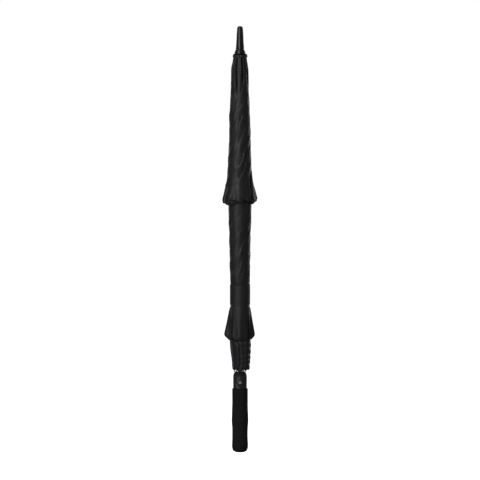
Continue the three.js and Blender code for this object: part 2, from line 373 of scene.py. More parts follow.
def fabric(name, base, thread=0.00035, blue=1.12, rough=(0.46, 0.6)):
    """Woven cloth with stitched hems and seams; thread is the weave's repeat in metres."""
    n = Nodes(name)
    uv = n.add("ShaderNodeUVMap", uv_map="cloth").outputs[0]
    sep = n.add("ShaderNodeSeparateXYZ")
    n.link(uv, sep.inputs[0])
    warp = n.math("SINE", n.math("MULTIPLY", sep.outputs[0], 2 * math.pi / thread))
    weft = n.math("SINE", n.math("MULTIPLY", sep.outputs[1], 2 * math.pi / thread))
    weave = n.math("MULTIPLY", warp, weft)
    crumple = n.noise(38, 4, 0.6, uv)
    grain = n.noise(420, 2, 0.5, uv)
    hem = n.add("ShaderNodeAttribute", attribute_name="hem").outputs["Fac"]
    seam = n.add("ShaderNodeAttribute", attribute_name="seam").outputs["Fac"]

    def stitches(distance, along, offset):
        """A dashed line at the given distance from an edge."""
        away = n.math("ABSOLUTE", n.math("SUBTRACT", distance, offset))
        band = n.math("SUBTRACT", 1.0, n.math("MULTIPLY", away, 1 / STITCH_HALF), True)
        wave = n.math("SINE", n.math("MULTIPLY", along, 2 * math.pi / STITCH_PITCH))
        return n.math("MULTIPLY", band, n.span(wave, 0.0, 1.0, -0.2, 0.3))

    by_hem = stitches(hem, sep.outputs[0], HEM_STITCH)
    sew = n.math("MAXIMUM", by_hem, stitches(seam, sep.outputs[1], SEAM_STITCH))
    fold_shade = n.add("ShaderNodeAttribute", attribute_name="fold_shade").outputs["Fac"]  # painted shade in folds, creases and under hem edges; 1 is darkest
    shade = n.math("ADD", n.math("MULTIPLY", crumple, 0.6), n.math("MULTIPLY", grain, 0.4))
    # painted shade: the cloth's colour is darkened inside folds and creases
    shade = n.math("SUBTRACT", shade, n.math("MULTIPLY", fold_shade, 0.5))
    tones = [(0.0, grey(base * 0.15, blue)), (0.3, grey(base * 0.72, blue)), (0.7, grey(base * 1.3, blue))]
    n.link(n.ramp(shade, tones), n.bsdf.inputs["Base Color"])
    dull = n.math("ADD", n.span(crumple, rough[0], rough[1], 0.3, 0.7), n.math("MULTIPLY", fold_shade, 0.4))
    n.link(dull, n.bsdf.inputs["Roughness"])
    # painted shade in folds and creases: metallic with a black base takes the gloss away there
    n.link(fold_shade, n.bsdf.inputs["Metallic"])
    fine = n.bump(weave, 0.25, 0.00006)
    soft = n.bump(crumple, 0.35, 0.0012, fine)
    n.link(n.bump(sew, 0.9, 0.00035, soft), n.bsdf.inputs["Normal"])
    n.shader(Sheen_Weight=0.08, Sheen_Roughness=0.45, Specular_IOR_Level=0.42)
    n.bsdf.inputs["Sheen Tint"].default_value = (0.8, 0.85, 1, 1)
    return n.mat


def plastic(name, base, rough, blue=1.0, coat=0.0, metal=0.0, grain=900, depth=0.00003, tone=0.2,
            matt_and_shaded_above=None):
    """Moulded plastic; above the height given last it is rougher, and darker as painted shade."""
    n = Nodes(name)
    fine = n.noise(grain, 3, 0.6)
    wear = n.noise(45, 4, 0.6)
    shade = wear
    mixed = n.math("ADD", n.math("MULTIPLY", wear, 0.7), n.math("MULTIPLY", fine, 0.3))
    dull = n.span(mixed, rough * 0.8, rough * 1.25, 0.3, 0.7)
    if matt_and_shaded_above:
        place = n.add("ShaderNodeSeparateXYZ")
        n.link(n.tree.nodes.new("ShaderNodeTexCoord").outputs["Object"], place.inputs[0])
        matt_and_shade = n.span(place.outputs[2], 0, 1, matt_and_shaded_above, matt_and_shaded_above + 0.002)
        # painted shade: the colour is darker above that height
        shade = n.math("SUBTRACT", wear, n.math("MULTIPLY", matt_and_shade, 0.6))
        dull = n.math("ADD", dull, n.math("MULTIPLY", matt_and_shade, 0.5))
    tones = [(0.0, grey(base * 0.3, blue)), (0.3, grey(base * (1 - tone), blue)),
             (0.7, grey(base * (1 + tone), blue))]
    n.link(n.ramp(shade, tones), n.bsdf.inputs["Base Color"])
    n.link(dull, n.bsdf.inputs["Roughness"])
    n.link(n.bump(fine, 0.3, depth), n.bsdf.inputs["Normal"])
    n.shader(Metallic=metal, Specular_IOR_Level=0.5, Coat_Weight=coat, Coat_Roughness=0.1)
    return n.mat


def marked(name, base, rough, blue):
    """Satin plastic whose raised mark, in the attribute of that name, is coloured a paler grey."""
    n = Nodes(name)
    fine = n.noise(900, 3, 0.6)
    wear = n.noise(45, 4, 0.6)
    mark = n.add("ShaderNodeAttribute", attribute_name="mark").outputs["Fac"]
    pick = n.math("ADD", n.math("MULTIPLY", mark, 0.7), n.math("MULTIPLY", wear, 0.3))
    tones = [(0.08, grey(base * 0.8, blue)), (0.22, grey(base * 1.2, blue)), (0.8, grey(0.3)),
             (0.95, grey(0.36))]
    n.link(n.ramp(pick, tones), n.bsdf.inputs["Base Color"])
    n.link(n.span(wear, rough * 0.8, rough * 1.25, 0.3, 0.7), n.bsdf.inputs["Roughness"])
    n.link(n.bump(fine, 0.3, 0.00003), n.bsdf.inputs["Normal"])
    return n.mat


def foam(name, base):
    n = Nodes(name)
    v = n.add("ShaderNodeTexVoronoi")
    v.inputs["Scale"].default_value = 1300
    n.link(n.tree.nodes.new("ShaderNodeTexCoord").outputs["Object"], v.inputs["Vector"])
    pores = n.math("MULTIPLY", v.outputs["Distance"], 1.6, True)
    cloud = n.noise(60, 4, 0.6)
    n.link(n.ramp(n.math("ADD", n.math("MULTIPLY", cloud, 0.7), n.math("MULTIPLY", pores, 0.3)),
                  [(0.3, grey(base * 0.7)), (0.75, grey(base * 1.3))]), n.bsdf.inputs["Base Color"])
    n.link(n.span(cloud, 0.78, 0.95, 0.3, 0.7), n.bsdf.inputs["Roughness"])
    n.link(n.bump(pores, 0.5, 0.00018, n.bump(cloud, 0.2, 0.0006)), n.bsdf.inputs["Normal"])
    n.shader(Specular_IOR_Level=0.3)
    return n.mat


def steel(name, base, rough):
    n = Nodes(name)
    draw = n.noise(240, 3, 0.6, stretch=(1, 1, 0.08))
    n.link(n.ramp(draw, [(0.3, grey(base * 0.8)), (0.7, grey(base * 1.1))]), n.bsdf.inputs["Base Color"])
    n.link(n.span(draw, rough * 0.75, rough * 1.3, 0.3, 0.7), n.bsdf.inputs["Roughness"])
    n.link(n.bump(draw, 0.25, 0.00004), n.bsdf.inputs["Normal"])
    n.shader(Metallic=1.0)
    return n.mat


CLOTH = fabric("canopy_cloth", 0.0125)
STRAP_CLOTH = fabric("strap_cloth", 0.0125, 0.0005, rough=(0.5, 0.62))
GLOSS = plastic("gloss_black", 0.006, 0.33, 1.1, grain=260, depth=0.000004)
SATIN = plastic("satin_handle", 0.02, 0.36, 1.25, coat=0.1, tone=0.15)
# the domed top of the collar is rougher and painted darker, as painted shade under the canopy
DOME = plastic("satin_collar", 0.02, 0.36, 1.25, tone=0.15, matt_and_shaded_above=0.1805)
FOAM = foam("grip_foam", 0.0075)
BLACK_RIB = plastic("black_rib", 0.012, 0.38, metal=0.3)
SHAFT_BLACK = plastic("black_shaft", 0.01, 0.3, coat=0.3)
MOULDING = plastic("black_moulding", 0.014, 0.5)
BRIGHT = steel("bright_steel", 0.5, 0.34)
WIRE = steel("spring_steel", 0.5, 0.34)


# ---------------------------------------------------------------- the wrapped canopy
# the radius of the wrapped cloth against height, from the crown down to the rib tips
BASE = [
    (930, 16.0), (925, 16.2), (918, 17.0), (911, 18.4), (904, 19.7), (897, 20.4), (883, 20.8), (855, 21.1),
    (830, 22.4), (805, 23.6), (790, 24.5), (756, 24.9), (728, 25.2), (700, 26.4), (672, 27.2), (650, 27.0),
    (600, 27.0), (566, 26.6), (538, 26.0), (517, 25.0), (482, 24.8), (454, 24.2), (418, 24.0), (402, 23.4),
    (398, 22.7), (346, 22.7), (342, 24.2), (330, 24.6), (300, 25.0), (264, 25.2), (250, 24.8), (222, 22.6),
    (207, 21.4), (197, 20.4),
]
# what the two flares add to it
VENT_FLARE = [
    (700, 0), (672, 0.5), (651, 1.8), (637, 4.2), (623, 7.6), (608, 11.4), (601, 13.4), (596, 13.3),
    (590, 12.0), (584, 8.6), (578, 4.5),
]
MAIN_FLARE = [
    (343, 0), (338, 1.2), (327, 2.9), (313, 5.2), (299, 7.6), (285, 10.4), (279, 11.3), (274, 9.0),
    (268, 3.2), (262, 0),
]
# the radius where the hidden folds start
VENT_INNER = [
    (930, 13.7), (900, 14.0), (800, 14.4), (700, 15.5), (660, 16.8), (644, 18.0), (624, 26.4), (580, 27.6),
]
MAIN_INNER = [(626, 16.9), (197, 16.9)]
# the vent's hem: degrees from the front, mm above its middle height
HEM_LINE = [
    (-180, 1), (-130, 3), (-90, 0), (-62, -4), (-28, -3), (-5, 2.5), (22, 7.5), (38, 4), (50, -2), (60, -2),
    (73, 2), (90, 7), (130, 2), (180, 1),
]
# how far the wrapped cloth leans towards +X
LEAN = [
    (930, 0), (900, -0.4), (720, -0.5), (667, -1.4), (630, -0.3), (600, 0), (270, 0), (245, 1.3),
    (217, 2.9), (197, 2.6),
]
# the two slanting hem edges across the vent's front: degrees from the front and height, start then end
LAP_EDGES = ((-30, 598, 6, 588), (14, 601, 37, 590))


def crease(az, z):
    """Height in mm of the diagonal folds that the wrapped flaps make, at azimuth az and height z in mm."""
    phase = RIBS * az / (2 * math.pi) - z / 36.0 + 0.35
    phase = phase + 0.24 * np.sin(2 * az + z / 47) + 0.12 * np.sin(3 * az - z / 29 + 1)
    phase = phase + 0.05 * np.sin(z / 11 + 5 * az)
    cell = np.floor(phase)
    part = phase - cell
    edge = 0.2 + 0.1 * np.sin(cell * 1.7)
    saw = np.where(part < edge, smooth(0, edge, part), 1 - (part - edge) / (1 - edge)) - 0.5
    size = 0.72 + 0.42 * np.sin(cell * 2.4 + 1.1) + 0.2 * np.sin(az * 2 + z / 70)
    zone = (0.25 + 0.75 * smooth(880, 830, z)) * smooth(588, 640, z)
    zone = zone + smooth(590, 550, z) * smooth(398, 430, z) * 0.85
    cross = 0.18 * np.sin(5 * az + z / 9.5 + 1.5 * np.sin(3 * az)) * np.sin(2 * az - z / 61)
    return (1.5 * saw * size + cross) * zone


def pleats(az, z):
    """Upright gathers below the crown, and a deep one along each rib."""
    top = smooth(845, 905, z)
    waves = 0.4 * np.cos(RIBS * 2 * az + 0.7 * np.sin(z / 21)) + 0.3 * np.cos(RIBS * 3 * az + z / 17)
    gathers = top * waves * smooth(931, 915, z)
    return gathers - 4.6 * rib_groove(az, z)


def rib_groove(az, z):
    """1 in the middle of the deep gather that runs down from the crown along each rib."""
    off = (az - FIRST + STEP / 2) % STEP - STEP / 2
    number = np.round((az - FIRST - off) / STEP)
    end = 868 + 14 * np.sin(number * 2.1 + 0.4)
    across = np.exp(-((off + 0.05 + 0.03 * np.sin(z / 23 + number)) / 0.1) ** 2)
    return across * smooth(end - 18, end + 12, z) * smooth(931, 921, z)


def valleys(kind, az, z):
    """1 in the middle of the long hollows beside the front of each flare."""
    s = az_front(az) - FRONT
    if kind == "vent":
        return np.exp(-((s - 0.86 - 0.0035 * (z - 590)) / 0.085) ** 2) * smooth(668, 630, z)
    sides = 0.5 * np.exp(-((s + 0.79) / 0.13) ** 2) + np.exp(-((s - 0.86) / 0.14) ** 2)
    return sides * smooth(335, 305, z) * smooth(264, 272, z)


def lap_edges(az, z):
    """(step, line) of the slanting hem edges across the vent's front.

    step goes from -1 below an edge to 1 above it; line is 1 on the shadow line.
    """
    s = np.degrees(az_front(az) - FRONT)
    step, line = 0, 0
    for from_s, from_z, to_s, to_z in LAP_EDGES:
        t = (s - from_s) / (to_s - from_s)
        window = smooth(-0.15, 0.15, t) * smooth(1.15, 0.9, t)
        above = z - (from_z + (to_z - from_z) * t)
        step = step + np.tanh(above / 1.8) * np.exp(-(above / 9) ** 2) * window
        line = line + np.exp(-((above + 1.2) / 1.3) ** 2) * window
    return step, np.clip(line, 0, 1)


def under_flare(az, z):
    """1 in the middle of the line where the flare's fold hangs over the gathered end."""
    s = az_front(az) - FRONT
    line = np.exp(-((z - 266 - 6 * (s + 0.15) ** 2) / 2.4) ** 2)
    return line * smooth(-1.1, -0.7, s) * smooth(0.9, 0.0, s)


def painted_fold_shade(kind, az, z):
    """Painted shade on the cloth in folds, creases and under the hem edges, 0 to 1."""
    shade_amount = 0.9 * rib_groove(az, z) + 0.8 * valleys(kind, az, z)
    shade_amount = shade_amount + (0.6 * under_flare(az, z) if kind == "main" else 0.75 * lap_edges(az, z)[1])
    return np.clip(shade_amount, 0, 1)


def slack(az, z):
    """Broad unevenness and small wrinkles."""
    low = smooth(266, 252, z)
    right = smooth(-1.5, -1.1, az_front(az)) * smooth(0.5, 0.1, az_front(az))
    broad = 0.35 * np.sin(2 * az + z / 83) + 0.25 * np.sin(3 * az - z / 51 + 2)
    broad = broad + 0.12 * np.sin(7 * az + z / 19)
    ruck = 0.6 * np.sin(z / 2.1 + 1.4 * np.sin(az * 3 + 1) + 0.9 * np.sin(z / 7)) * (0.2 + 0.8 * right)
    ruck = ruck + 0.35 * np.sin(4 * az + z / 12) + 0.25 * np.sin(9 * az - z / 17)
    strap = smooth(338, 350, z) * smooth(404, 394, z)
    return broad * (1 - 0.8 * strap) + low * ruck


def az_front(az):
    """Azimuth measured so that the front, FRONT, is in the middle of its range."""
    return (az - FRONT + math.pi) % (2 * math.pi) - math.pi + FRONT


def hem_wave(az):
    """How much higher than its middle height the vent's hem hangs, in mm."""
    return curve(HEM_LINE, np.degrees(az_front(az) - FRONT)) + 0.5 * np.sin(8 * az)


def gathered_twist(az, z):
    """The bundle below the hem is twisted a little, which brings one of its splits to the front."""
    near = np.exp(-((az_front(az) - FRONT + STEP / 2) / 0.6) ** 2)
    return 0.4 * near * smooth(268, 250, z) * (1 - 0.7 * smooth(214, 197, z))


def lobes(az, sharp):
    """1 at the middle of each gore, 0 at each rib."""
    c = 0.5 + 0.5 * np.cos(RIBS * (az - FIRST - STEP / 2) + 0.25 * np.sin(az * 3 + 1))
    return c ** sharp


def outside(kind, az, z):
    """The radius in mm of the visible cloth."""
    r = curve(BASE, z) + crease(az, z) + pleats(az, z) + slack(az, z)
    front = np.exp(-((az_front(az) - FRONT) / 1.15) ** 6)
    if kind == "vent":
        swell = 1 + 0.04 * np.cos(az - math.pi)
        ruffle = (1.0 * np.sin(11 * az + 1.2 + z / 14) + 1.1 * np.sin(19 * az - z / 9)) * smooth(616, 588, z)
        ruffle = ruffle * (0.75 + 0.45 * np.sin(2 * az + 0.4) + 0.25 * np.sin(5 * az))
        r = r + curve(VENT_FLARE, z) * (0.8 + 0.2 * lobes(az, 0.8)) * swell * (1 - 0.22 * front) + ruffle
        r = r - 7 * valleys(kind, az, z) + 1.1 * lap_edges(az, z)[0]
    else:
        swell = 1 + 0.12 * np.cos(az - math.pi)
        r = r + curve(MAIN_FLARE, z) * (0.04 + 0.96 * lobes(az, 1.2)) * swell * (1 - 0.78 * front)
        r = r - 2 * valleys(kind, az, z)
    return r + curve(LEAN, z) * np.cos(az)


def open_turns(kind, j):
    """(T, P, n, angle): the carrier body's open placement, and the fan hinge at its limit."""
    rib = joint_turn(f"rib_hinge_{j}")
    carrier = rib if kind == "vent" else rib @ joint_turn(f"rib_flex_{j}")
    fan = JOINTS[f"{kind}_gore_fan_{j}"]
    return carrier, np.array(fan["pos_m"]), np.array(fan["axis"]), math.radians(fan["range_deg"][1])


def fanned(p, pivot, axis, angle, w):
    """Rest points p turned about the fan hinge by share w of its angle."""
    v = p - pivot
    c, s = np.cos(w * angle)[..., None], np.sin(w * angle)[..., None]
    return pivot + v * c + np.cross(axis, v) * s + axis * (v @ axis)[..., None] * (1 - c)


# top, hem_rib, hem_mid and apex are heights, and row is the mean height of a row;
# spread and shift are degrees
KINDS = {
    "vent": dict(top=929.6, hem_rib=590.5, hem_mid=587, passes=6, inner=VENT_INNER, row=3.0,
                 apex=934.13, spread=44.8, shift=-28.67),
    "main": dict(top=623.0, hem_rib=195.6, hem_mid=269.5, passes=12, inner=MAIN_INNER, row=3.0,
                 apex=989.76, spread=36.8, shift=-11.6),
}
VENT_NOTCH = 5.0  # how much higher, in mm, each vent panel's hem is at its middle
SHARE = 0.85  # rest width of the hidden folds against the open width
SEAM_LAP = 0.07  # radians by which a gore's first edge reaches past its rib, under the next gore
SEEN = 40  # columns on the visible side of a flap
HALVINGS = 26  # steps that find each point's share of the fan's turn


def gore(kind, j):
    """One canopy panel: a fan of cloth, folded in passes between rib j and the next."""
    k = KINDS[kind]
    rib_az = FIRST + j * STEP
    rows = int((k["top"] - k["hem_rib"]) / k["row"])
    v = 1 - (1 - np.linspace(0, 1, rows)) ** 1.35  # rows lie closer together towards the hem
    z_row = k["top"] + (k["hem_rib"] - k["top"]) * v  # nominal heights
    passes = k["passes"]

    # one row's section as (side, pass, share along the pass), from the left rib to the right rib
    cols = [("A", 0, 0.0)]
    for p in range(1, passes):
        cols += [("A", p, s) for s in np.linspace(0, 1, 4)]
    cols += [("A", passes, s) for s in np.linspace(0, 1, SEEN)]
    cols += [("C", passes, s) for s in np.linspace(1, 0, 10)]
    for p in range(passes - 1, 0, -1):
        cols += [("C", p, s) for s in np.linspace(1, 0, 4)]
    cols += [("C", 0, s) for s in np.linspace(1, 0, 3)]
    side = np.array([c[0] == "A" for c in cols])
    number = np.array([c[1] for c in cols])
    share = np.array([c[2] for c in cols])
    top_side = np.where(number % 2 == 0, side, ~side)
    number_g, share_g = number[None, :], share[None, :]

    def section(z):
        """(azimuth from the rib, the flap's lap over the panel before) at heights z, one row each."""
        width = math.radians(k["spread"]) * (k["apex"] - z)
        if kind == "vent":
            lap = math.radians(2) + math.radians(24) * smooth(k["top"] + 5, k["top"] - 190, z)
        else:
            lap = math.radians(26) + 0 * z
        lap = lap * (1 + 0.1 * np.sin(z / 31 + 2.1 * j) + 0.07 * np.sin(z / 12.7 + j))
        seen = (STEP + lap) * 23
        amp = np.clip((SHARE * width / 2 - seen) / (passes - 1), 1.5, 15.5) / 20 / 2
        left = np.where(number_g == passes, -lap, STEP / 2 - amp)
        right = np.where(number_g == passes, STEP, STEP / 2 + amp)
        go_right = (number_g % 2 == 1)
        az = np.where(go_right, left + (right - left) * share_g, right + (left - right) * share_g)
        root = math.radians(45 + k["shift"])
        az = np.where((number_g == 0) & side[None, :], -SEAM_LAP, az)
        az = np.where((number_g == 0) & ~side[None, :], root + (STEP / 2 - amp - root) * share_g, az)
        return az, lap

    az, lap = section(z_row[:, None])
    # flat position of each column, 0 at the left rib and 1 at the right
    nominal = np.where(number == passes, 23.5, 17 + 5.5 * number / passes)[None, :]
    outward = np.diff(np.broadcast_to(nominal, az.shape), axis=1)
    step = np.hypot(np.diff(az, axis=1) * nominal[:, 1:], outward)
    flat = np.concatenate([np.zeros((rows, 1)), np.cumsum(step, axis=1)], axis=1)
    flat /= flat[:, -1:]
    mid = smooth(0, 1, 1 - np.abs(2 * flat - 1))
    hem = k["hem_rib"] + (k["hem_mid"] - k["hem_rib"]) * mid
    if kind == "vent":
        hem = hem + VENT_NOTCH * smooth(0.8, 1.0, 1 - np.abs(2 * flat - 1))
    z = k["top"] + (hem - k["top"]) * v[:, None]
    if kind == "vent":
        z = z + hem_wave(az + rib_az) * smooth(650, 590, z)

    # radius: hidden folds fill the space between the ribs and the visible layer, and fewer of them
    # remain under the middle of the hem
    shares = np.linspace(0, 0.5, 60)
    hems = k["hem_rib"] + (k["hem_mid"] - k["hem_rib"]) * smooth(0, 1, 2 * shares)
    left_over = np.interp(z, hems, shares, right=0.5)
    depth = np.clip(np.minimum(flat, 1 - flat) / np.maximum(left_over, 0.02), 0, 1)
    # in the bundle below the hem the cloth next to the rib comes outermost
    bundle = smooth(286, 264, z) if kind == "main" else 0 * z
    depth = depth ** 0.8 * (1 - bundle) + (1 - 1.6 * np.minimum(flat, 1 - flat)) * bundle
    inner = curve(k["inner"], z)
    world = az + rib_az
    skin = outside(kind, world, z)
    free = np.where(number == 0, np.where(side, 0.0, share), 1.0)[None, :]  # the seams stay on their ribs
    world = world + gathered_twist(world, z) * bundle * free
    plain = curve(BASE, z) - 1.3 * (1 - bundle) + slack(world, z) * bundle
    plain = plain + curve(LEAN, z) * np.cos(world) * bundle
    plain = plain - 2.4 * under_flare(world, z)
    if kind == "vent":
        plain = np.maximum(plain, inner + 0.4)
        skin = np.maximum(skin, inner + 1.2)
    hidden_r = inner + (plain - inner) * depth * (1 - bundle * (1 - free))
    # the right edge lies under the next gore's lap
    under = 0.3 * (1 - smooth(-0.02, 0.2, STEP - az - lap))
    turned = 0.35 * smooth(9.5, 8.5, z - hem)  # the doubled hem is thicker
    seen_r = skin - under + turned
    r = np.where(number_g == passes, seen_r, hidden_r)
    r = r - np.where(top_side[None, :], 0.0, 0.22)
    rest = np.stack([r * np.cos(world), r * np.sin(world), z], -1) * MM

    # weights that spread the columns evenly when open
    carrier, pivot, axis, angle = open_turns(kind, j)
    low, high = np.zeros(z.shape), np.ones(z.shape)
    aim = np.arctan((2 * flat - 1) * math.tan(STEP / 2)) + STEP / 2
    for _ in range(HALVINGS):
        w = (low + high) / 2
        q = carry(carrier, fanned(rest, pivot, axis, angle, w))
        turn = (np.arctan2(q[..., 1], q[..., 0]) - rib_az + math.pi) % (2 * math.pi) - math.pi
        past = turn > aim
        high = np.where(past, w, high)
        low = np.where(past, low, w)
    w = (low + high) / 2
    w[:, 0] = 0  # the first seam stays on its rib

    ob = grid_object(f"{kind}_canopy_{j}", rest)
    width = np.radians(k["spread"]) * (k["apex"] - z) * MM
    set_uv(ob, np.stack([(flat - 0.5) * width, (k["apex"] - z) * MM], -1))
    attribute(ob, "hem", (z - hem) * MM)
    attribute(ob, "seam", np.minimum(flat, 1 - flat) * width)
    # painted shade in the folds, creases and under the hem edges goes to the material
    attribute(ob, "fold_shade", painted_fold_shade(kind, world, z))
    paint(ob, CLOTH)
    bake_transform(ob)
    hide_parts(f"{kind}_gore_{j}")


# ---------------------------------------------------------------- ribs first, since the cloth rests on them
# the rib's hinge at the notch and its joint with the stretcher, as (radial, z)
HINGE, FLEX = (11.0, 925.0), (14.2, 635.0)


def local(j, points):
    """Points in the rib's own (radial, sideways, z) millimetres to the row frame in metres."""
    p = np.asarray(points, float)
    a = FIRST + j * STEP
    x = p[..., 0] * math.cos(a) - p[..., 1] * math.sin(a)
    y = p[..., 0] * math.sin(a) + p[..., 1] * math.cos(a)
    return np.stack([x, y, p[..., 2]], -1) * MM


def bar(name, j, stations, halves):
    """A bar through (radial, z) stations with a rounded oblong section.

    halves are its (radial, sideways) half sizes at each station.
    """
    corners = [(1, -0.62), (1, 0.62), (0.72, 1), (-0.72, 1), (-1, 0.62), (-1, -0.62), (-0.72, -1), (0.72, -1)]
    st = np.array(stations, float)
    hv = np.array(halves, float)
    ring = np.array([[(st[i, 0] + c[0] * hv[i, 0], c[1] * hv[i, 1], st[i, 1]) for c in corners]
                     for i in range(len(st))])
    pts = local(j, ring)
    n, m = pts.shape[:2]
    faces = [tuple(int(x) for x in q) for q in grid_faces(n, m, True)]
    faces += [tuple(range(m))[::-1], tuple(range((n - 1) * m, n * m))]
    ob = mesh_object(name, pts.reshape(-1, 3), faces)
    faces_out(ob)
    return ob


def rib(j):
    """A whole rib with its bright tip and the clip at the stretcher joint."""
    z = np.concatenate([np.linspace(926.2, 670, 24), np.linspace(668, 600, 18), np.linspace(596, 205, 30)])
    inner_half = HINGE[0] + (FLEX[0] - HINGE[0]) * (HINGE[1] - z) / (HINGE[1] - FLEX[1])
    radial = np.where(z > FLEX[1], inner_half, FLEX[0])
    slim = smooth(640, 210, z)
    halves = np.stack([1.3 - 0.25 * slim, 1.4 - 0.35 * slim], -1)
    ob = bar(f"rib_{j}_bar", j, np.stack([radial, z], -1), halves)
    paint(ob, BLACK_RIB)
    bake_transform(ob)
    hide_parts(f"rib_inner_{j}", f"rib_outer_{j}")

    # bright tip: a socket over the rib's end, a neck where the real tip has its sewing eye (not cut here),
    # and a ball
    cap = [(0, 190.3), (0.9, 190.5), (1.55, 191.2), (1.9, 192.4), (1.75, 193.5), (1.2, 194.3),
           (1.1, 196.4), (1.5, 197.2), (1.62, 198.5), (1.62, 209.5), (1.45, 210.2), (0, 210.2)]
    tip = lathe(f"rib_{j}_tip", cap, 20)
    tip.location = tuple(local(j, (FLEX[0], 0, 0)))
    paint(tip, BRIGHT)
    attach(tip, f"ribtip_{j}")

    # folded steel clip over the rib at the stretcher joint, with its rivet
    clip = bar(f"rib_{j}_clip_part", j, [(14.17, 642), (14.2, 640.5), (14.2, 629.5), (14.2, 628)],
               [(1.5, 1.6), (1.75, 1.85), (1.75, 1.85), (1.5, 1.6)])
    pin = [(FLEX[0], across, FLEX[1]) for across in (-2.3, -2.2, 2.2, 2.3)]
    rivet = tube(f"rib_{j}_rivet_part", local(j, pin), np.array([0.5, 0.85, 0.85, 0.5]) * MM, 12)
    clip = join(f"rib_{j}_clip", [clip, rivet])
    paint(clip, BRIGHT)
    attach(clip, f"rib_{j}")


for j in range(RIBS):
    rib(j)
for j in range(RIBS):
    gore("main", j)
for j in range(RIBS):
    gore("vent", j)

# ---------------------------------------------------------------- crown and ferrule
SHAFT_BORE = 7.35  # radius of the bores that take the shaft
FERRULE = rounded([(SHAFT_BORE, 946.3), (9.65, 946.3), (9.75, 947.1), (9.5, 953), (8.85, 960), (8.4, 968),
                   (7.9, 981), (7.3, 989), (6.75, 995.4), (5.4, 998.4), (3.0, 999.7), (0, 1000)],
                  [0, 0.3, 0.8, 3, 3, 3, 3, 3, 2.5, 1.5, 1.2, 0], 5)
ferrule = lathe("ferrule_cap", [(0, 954), (SHAFT_BORE, 954)] + FERRULE, 96)
paint(ferrule, GLOSS)
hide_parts("ferrule")
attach(ferrule, "handle_and_shaft")

COLLAR_TOP = rounded([(SHAFT_BORE, 935.9), (12.2, 935.9), (13.0, 936.5), (12.9, 938.0), (12.3, 940.2),
                      (11.4, 942.8), (10.5, 945.0), (9.4, 946.0), (SHAFT_BORE, 946.0)],
                     [0, 0.4, 0.6, 0.9, 0.9, 0.9, 0.6, 0.3, 0], 5)
crown = lathe("crown_ring", COLLAR_TOP, 96)
paint(crown, GLOSS)
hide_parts("crown_collar")
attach(crown, "handle_and_shaft")


def rosette():
    """The gathered cloth disc under the ring: a ruffled skirt."""
    seg = 224
    skirt = [(7.6, 935.4), (11.2, 935.5), (14.0, 935.6), (15.6, 934.6), (16.5, 932.6), (16.9, 930.4),
             (17.1, 928.2)]
    outline = np.array(spline(skirt, 0.7))
    ang = np.arange(seg) * 2 * math.pi / seg
    t = np.linspace(0, 1, len(outline))[:, None]
    wander = 15 * ang + 1.6 * np.sin(3 * ang)
    ruffle = np.cos(wander) * 0.6 + np.cos(23 * ang + 1) * 0.3
    r = outline[:, :1] + 0.75 * ruffle * smooth(0.35, 1, t)
    z = outline[:, 1:] - 0.5 * np.cos(wander + 0.8) * smooth(0.6, 1, t)
    grid = np.stack([r * np.cos(ang), r * np.sin(ang), z], -1) * MM
    ob = grid_object("crown_ruffle", grid, wrap=True)
    set_uv(ob, np.stack([grid[..., 0], grid[..., 1]], -1))
    attribute(ob, "hem", (1 - t) * 0.013 + 0 * ang)
    attribute(ob, "seam", np.full(r.shape, 0.05) + 0 * ang)
    # painted shadow: the ruffle's top under the crown ring is darkened
    attribute(ob, "fold_shade", 0.95 * smooth(932.2, 934.2, z))
    paint(ob, CLOTH)
    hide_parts("crown_rosette")
    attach(ob, "handle_and_shaft")


rosette()

# ---------------------------------------------------------------- handle
GRIP = [
    (13.3, 1.4), (14.4, 1.6), (15.6, 2.4), (17.2, 4.6), (18.4, 8.0), (18.95, 12), (19.05, 18), (18.7, 26),
    (18.4, 34), (18.35, 46), (18.5, 54), (19.0, 63), (19.6, 71), (19.7, 76), (19.45, 84), (19.0, 94),
    (18.7, 104), (18.45, 116), (18.4, 130), (18.4, 146),
]
GRIP_TOP = [(18.4, 147.5), (18.3, 149.4), (17.9, 150.6), (17.2, 151.0), (13.3, 151.0), (13.3, 76)]
grip = lathe("grip_foam", spline(GRIP, 1.2) + GRIP_TOP, 128,
             lambda a, z: 0.06 * np.sin(5 * a + z / 9) + 0.04 * np.sin(11 * a - z / 5))
paint(grip, FOAM)
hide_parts("grip")
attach(grip, "handle_and_shaft")

PLUG = rounded([(0, 0.9), (4.5, 0.9), (5.2, 0.0), (11.4, 0.0), (12.7, 1.2), (12.8, 5.6), (0, 5.6)],
               [0, 0.4, 0.4, 0.8, 0.8, 0.3, 0], 4)
plug = lathe("end_plug", PLUG, 72)
paint(plug, SATIN)
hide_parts("end_cap")
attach(plug, "handle_and_shaft")

# the button's middle height and its half width and half height
BUTTON_Z, BUTTON_WIDE, BUTTON_TALL = 167.2, 8.2, 13.0
WINDOW_GAP = 0.3


